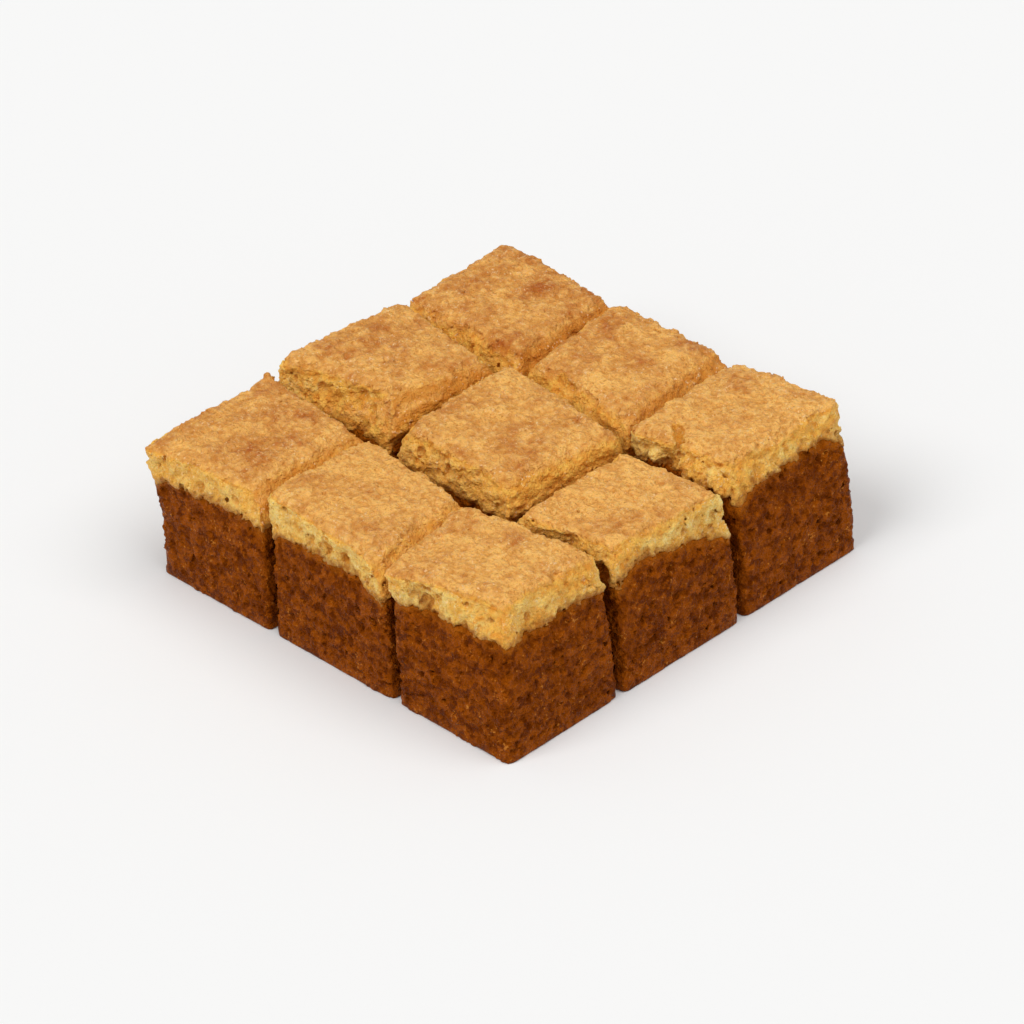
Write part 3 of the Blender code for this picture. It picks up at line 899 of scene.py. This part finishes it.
def brow_colour(w, at, fine, soaked, toast):
    """The golden edge of the crust, with painted shade in its pits, deeper where it is soaked or toasted."""
    mottle = w.noise(at, size=2.6, detail=3.0, roughness=0.6)
    golden = mixed(w, w.fade(mottle, low=-0.35, high=0.35), BROW_LIGHT, BROW_GOLD)
    # painted shade in the brow's pits
    golden = mixed(w, w.fade(fine, low=0.0, high=-0.4, to_high=0.4), golden, BROW_PIT_SHADE)
    golden = mixed(w, w.fade(soaked, low=0.85, high=1.0, to_high=0.8), golden, BROW_SOAKED)
    return mixed(w, w.fade(toast, low=0.5, high=1.2), golden, BROW_TOASTED)


def crumb_colour(w, at, fluff, pit_shade, soaked):
    """Pale and fluffy, with a painted highlight on the fluff's tops and golden painted shade in its pits and
    deep hollows, and all golden where it is soaked.
    """
    dry_tone = w.fade(w.noise(at, size=5.0, detail=3.0), low=-0.35, high=0.35)
    dry = mixed(w, dry_tone, CRUMB_GOLD, CRUMB_LIGHT)
    # a painted highlight on the fluff's tops, then painted shade in its pits, from the noise of the bump
    dry = mixed(w, w.fade(fluff, low=0.06, high=0.5, to_high=0.9), dry, CRUMB_FLUFF_HIGHLIGHT)
    dry = mixed(w, w.fade(fluff, low=-0.05, high=-0.5, to_high=0.85), dry, CRUMB_PIT_SHADE)
    # painted shade in the deep hollows
    dry = mixed(w, w.times(pit_shade, DRY_DEEP_SHADE_SHOWS), dry, CRUMB_DEEP_SHADE)
    wet_tone = w.fade(w.noise(at, size=3.0, detail=3.0), low=-0.35, high=0.4)
    wet = mixed(w, wet_tone, WET_LIGHT, WET_GOLD)
    # painted shade in the pits of the soaked crumb
    wet = mixed(w, w.fade(fluff, low=-0.05, high=-0.55, to_high=0.6), wet, WET_PIT_SHADE)
    # painted shade in the soaked crumb's deep hollows
    wet = mixed(w, w.times(pit_shade, WET_DEEP_SHADE_SHOWS), wet, WET_DEEP_SHADE)
    return mixed(w, soaked, dry, wet)


def sponge_material():
    material, w, shader = new_material("golden_sponge")
    at = place_in_mm(w)
    baked, pit_shade, soaked = w.parts(read(w, "baking", "Vector"))
    above, _, mark = w.parts(read(w, "layering", "Vector"))
    toast = read(w, "toast")

    # fine grain, read by the colour and the bump alike: its tops get a painted highlight and its pits
    # painted shade
    fine = w.plus(w.waves(at, size=0.65, height=0.6, roughness=0.6),
                  w.waves(at, size=1.5, height=0.5, roughness=0.6))
    # fluff of the crumb, read by the colour and the bump alike: its tops get a painted highlight and its
    # pits painted shade
    fluff = w.plus(w.waves(at, size=0.55, height=0.8, detail=3.0, roughness=0.7),
                   w.waves(at, size=1.2, height=0.6, roughness=0.6))
    # painted highlight: glints of syrup, painted into the colour
    glint = w.plus(w.noise(at, size=0.8, detail=1.0), w.waves(at, size=6.0, height=0.5))
    glint = w.fade(glint, low=0.35, high=0.6)

    dry = w.math("MULTIPLY_ADD", soaked, -SOAKED_LESS_DRY, 1.0)
    dry = w.times(w.fade(baked, low=0.45, high=0.95), dry)
    skin = mixed(w, dry, brow_colour(w, at, fine, soaked, toast), crust_colour(w, at, fine, toast, mark))
    crumb = crumb_colour(w, at, fluff, pit_shade, soaked)
    colour = mixed(w, w.fade(baked, low=0.08, high=0.45), crumb, skin)
    colour = mixed(w, w.times(glint, SPONGE_GLINT_SHOWS), colour, SPONGE_GLINT)
    ragged = w.waves(at, size=1.8, height=2.2, detail=3.0, roughness=0.6)
    soak = w.fade(w.plus(above, ragged), low=2.9, high=-0.6)
    colour = mixed(w, w.times(soak, SPONGE_SOAK_SHOWS), colour, SPONGE_SOAK)
    height = w.plus(fine, w.times(w.times(fluff, w.rest(baked)), 0.25))
    bump = w.add("ShaderNodeBump", {"Height": height, "Strength": 1.0, "Distance": SPONGE_GRAIN_HEIGHT})
    roughness = w.fade(w.noise(at, size=0.9), low=-0.4, high=0.4, to_low=0.28, to_high=0.6)

    w.feed(shader.inputs["Base Color"], colour)
    w.feed(shader.inputs["Roughness"], roughness)
    w.feed(shader.inputs["Normal"], bump.outputs[0])
    shader.inputs["Specular IOR Level"].default_value = 0.25
    shader.inputs["Specular Tint"].default_value = (1.0, 0.85, 0.6, 1.0)
    shader.inputs["Subsurface Weight"].default_value = 0.12
    shader.inputs["Subsurface Radius"].default_value = (1.6 * MM, 0.8 * MM, 0.3 * MM)
    shader.inputs["Subsurface Scale"].default_value = 1.0
    return material


def base_material():
    material, w, shader = new_material("soaked_base")
    at = place_in_mm(w)
    _, pit_shade, _ = w.parts(read(w, "baking", "Vector"))
    above, _, clod = w.parts(read(w, "layering", "Vector"))
    patches = w.noise(at, size=5.0, detail=4.0, roughness=0.6)
    fine = w.noise(at, size=0.8, roughness=0.6)
    # painted highlight: wet glints, painted into the colour
    glint = w.plus(w.noise(at, size=0.8), w.times(patches, 0.6))
    glint = w.fade(glint, low=0.3, high=0.6)

    uneven = w.plus(w.times(patches, 0.7), w.times(fine, 0.7))
    tone = w.plus(w.math("MULTIPLY_ADD", clod, 1.0, -0.5), uneven)
    colour = mixed(w, w.fade(tone, low=-0.8, high=0.8), BASE_DARK, BASE_BROWN)
    # painted shade in the base's deep hollows
    colour = mixed(w, w.times(pit_shade, BASE_DEEP_SHADE_SHOWS), colour, BASE_DEEP_SHADE)
    colour = mixed(w, w.times(glint, BASE_GLINT_SHOWS), colour, BASE_GLINT)
    ragged = w.waves(at, size=2.2, height=2.0, detail=3.0, roughness=0.6)
    amber = w.fade(w.plus(above, ragged), low=-2.6, high=0.6)
    colour = mixed(w, w.times(amber, BASE_AMBER_SHOWS), colour, BASE_AMBER)
    bump = w.add("ShaderNodeBump", {"Height": fine, "Strength": 1.0, "Distance": BASE_GRAIN_HEIGHT})
    roughness = w.fade(w.noise(at, size=1.2), low=-0.4, high=0.4, to_low=0.14, to_high=0.36)

    w.feed(shader.inputs["Base Color"], colour)
    w.feed(shader.inputs["Roughness"], roughness)
    w.feed(shader.inputs["Normal"], bump.outputs[0])
    shader.inputs["Specular IOR Level"].default_value = 0.06
    shader.inputs["Specular Tint"].default_value = (1.0, 0.5, 0.15, 1.0)
    return material


# ---------------------------------------------------------------- the squares

def dress_squares():
    """Each square's sponge and base, grown from the same form."""
    tree = crumb_tree()
    sponge_look = sponge_material()
    base_look = base_material()
    for number, (square, (toast, front, left)) in enumerate(SQUARES.items(), start=1):
        form = square_form(square)
        own = {"Seed": float(number), "Soaked Front": front, "Soaked Left": left, "Toast": toast}
        sponge = grow("crumb_" + square, form, tree, {**SPONGE, **own}, sponge_look)
        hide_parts("sponge_" + square)
        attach(sponge, "root")
        base = grow("syrup_" + square, form, tree, {**BASE, "Seed": float(number)}, base_look)
        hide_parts("base_" + square)
        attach(base, "root")


# ---------------------------------------------------------------- camera, floor and light

# Where the camera stands: lengths are in this unit, round this point on the floor.
VIEW_UNIT = 0.140
VIEW_MIDDLE = Vector((0.100, -2.628, 0.0)) * MM
AZIMUTH = math.radians(-44.526)
ELEVATION = math.radians(34.394)
ROLL = math.radians(-1.771)
FOCAL_PIXELS = 7000.0
FRAME_PIXELS = 1024.0
SENSOR_MM = 36.0
CAMERA_AWAY = 13.5986
CAMERA_RIGHT = -0.003805
CAMERA_UP = 0.097657
CLIP_START = 0.1
CLIP_END = 20.0

FLOOR_HALF = 3.0
FLOOR_COLOUR = (0.89, 0.89, 0.885, 1.0)
ROOM_COLOUR = (1.0, 1.0, 1.0, 1.0)
ROOM_STRENGTH = 0.39

# The lamps: name, where it shines from, its spread in degrees, and its strength.
LAMPS = (
    ("key", (-0.62, 0.12, 0.78), 35.0, 1.4),
    ("overhead", (0.13, -0.42, 0.90), 50.0, 1.12),
)


def set_camera():
    back = Vector((math.sin(AZIMUTH) * math.cos(ELEVATION), -math.cos(AZIMUTH) * math.cos(ELEVATION),
                   math.sin(ELEVATION)))
    level = Vector((math.cos(AZIMUTH), math.sin(AZIMUTH), 0.0))
    rise = back.cross(level)
    right = math.cos(ROLL) * level + math.sin(ROLL) * rise
    up = -math.sin(ROLL) * level + math.cos(ROLL) * rise
    data = bpy.data.cameras.new("camera")
    data.sensor_width = SENSOR_MM
    data.lens = SENSOR_MM * FOCAL_PIXELS / FRAME_PIXELS
    data.clip_start = CLIP_START
    data.clip_end = CLIP_END
    camera = bpy.data.objects.new("camera", data)
    spot = VIEW_MIDDLE + VIEW_UNIT * (back * CAMERA_AWAY + right * CAMERA_RIGHT + up * CAMERA_UP)
    camera.matrix_world = Matrix((
        (right.x, up.x, back.x, spot.x),
        (right.y, up.y, back.y, spot.y),
        (right.z, up.z, back.z, spot.z),
        (0.0, 0.0, 0.0, 1.0),
    ))
    bpy.context.scene.collection.objects.link(camera)
    bpy.context.scene.camera = camera


def set_stage():
    bm = bmesh.new()
    bmesh.ops.create_grid(bm, x_segments=1, y_segments=1, size=FLOOR_HALF)
    mesh = bpy.data.meshes.new("floor")
    bm.to_mesh(mesh)
    bm.free()
    floor = bpy.data.objects.new("floor", mesh)
    material, _, shader = new_material("pale_floor")
    shader.inputs["Base Color"].default_value = FLOOR_COLOUR
    shader.inputs["Roughness"].default_value = 0.9
    shader.inputs["Specular IOR Level"].default_value = 0.1
    mesh.materials.append(material)
    bpy.context.scene.collection.objects.link(floor)


def set_light():
    scene = bpy.context.scene
    scene.view_settings.view_transform = "Standard"
    world = bpy.data.worlds.new("soft_room")
    world.use_nodes = True
    room = world.node_tree.nodes["Background"]
    room.inputs["Color"].default_value = ROOM_COLOUR
    room.inputs["Strength"].default_value = ROOM_STRENGTH
    scene.world = world
    for name, direction, spread, strength in LAMPS:
        data = bpy.data.lights.new(name, "SUN")
        data.angle = math.radians(spread)
        data.energy = strength
        lamp = bpy.data.objects.new(name, data)
        lamp.rotation_euler = Vector(direction).to_track_quat("Z", "Y").to_euler()
        scene.collection.objects.link(lamp)


dress_squares()
set_stage()
set_light()
set_camera()
